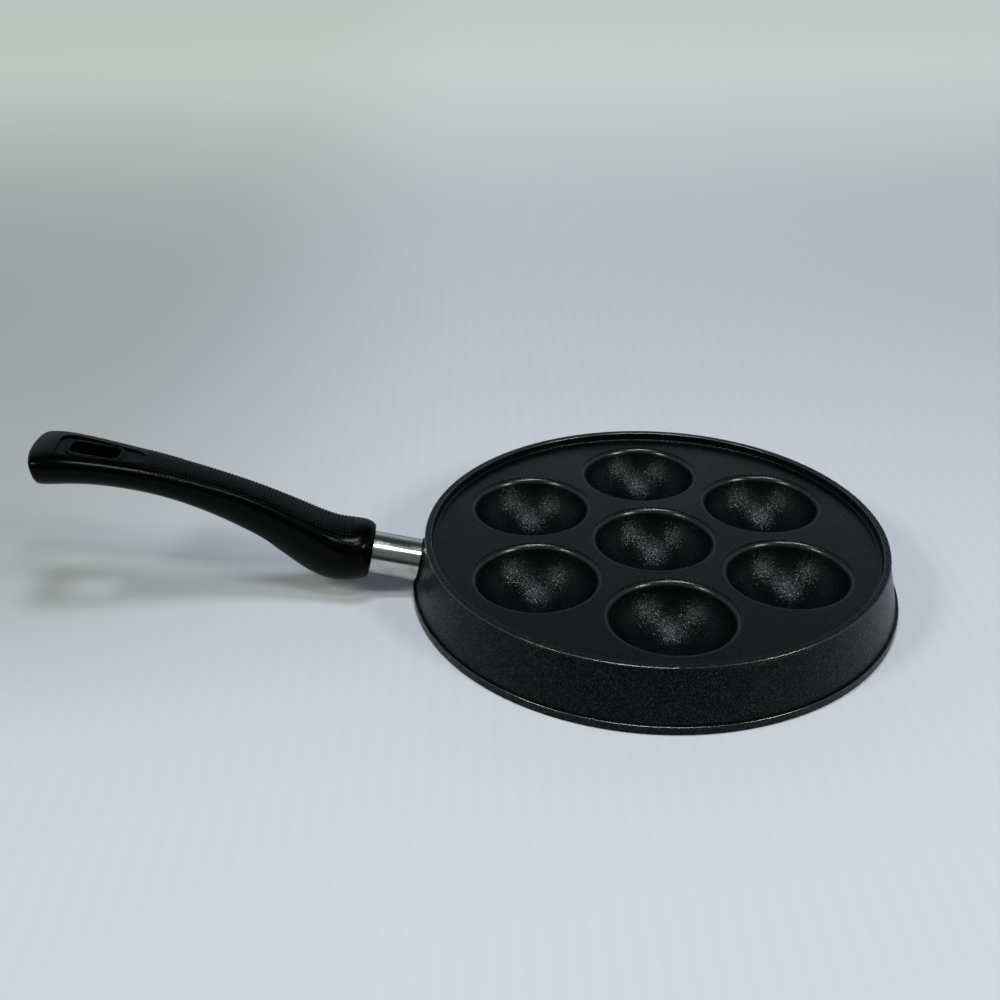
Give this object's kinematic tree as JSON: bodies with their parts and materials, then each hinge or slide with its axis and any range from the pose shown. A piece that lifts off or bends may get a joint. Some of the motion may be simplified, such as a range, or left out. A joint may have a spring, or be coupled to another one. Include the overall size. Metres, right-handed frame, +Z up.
{
  "type": "aebleskiver pan",
  "caption": "Round cast pan with hemispherical cups sunk in its deck, a flared skirt, and an S-shaped moulded handle with a hanging slot, screwed on through a steel ferrule.",
  "frame": {"origin": "axis of the round pan, in the plane that it stands on", "axes": "+Z up out of the cups, the handle points along -X, +Y is to the far side when the handle is on the left"},
  "size_m": [0.3968, 0.2286, 0.0791],
  "materials": {
    "nonstick_casting": "cast aluminium under a charcoal non-stick coating, satin with a fine metallic sparkle",
    "stainless_ferrule": "drawn stainless tube, brushed along its length",
    "phenolic_handle": "black moulded phenolic, satin, with fine raised dots on top",
    "zinc_fastener": "zinc-plated steel"
  },
  "bodies": {
    "root": {"pan_body": "nonstick_casting", "ferrule": "stainless_ferrule", "handle": "phenolic_handle", "handle_screw": "zinc_fastener", "flat_washer": "zinc_fastener", "spring_washer": "zinc_fastener"}
  },
  "joints": []
}
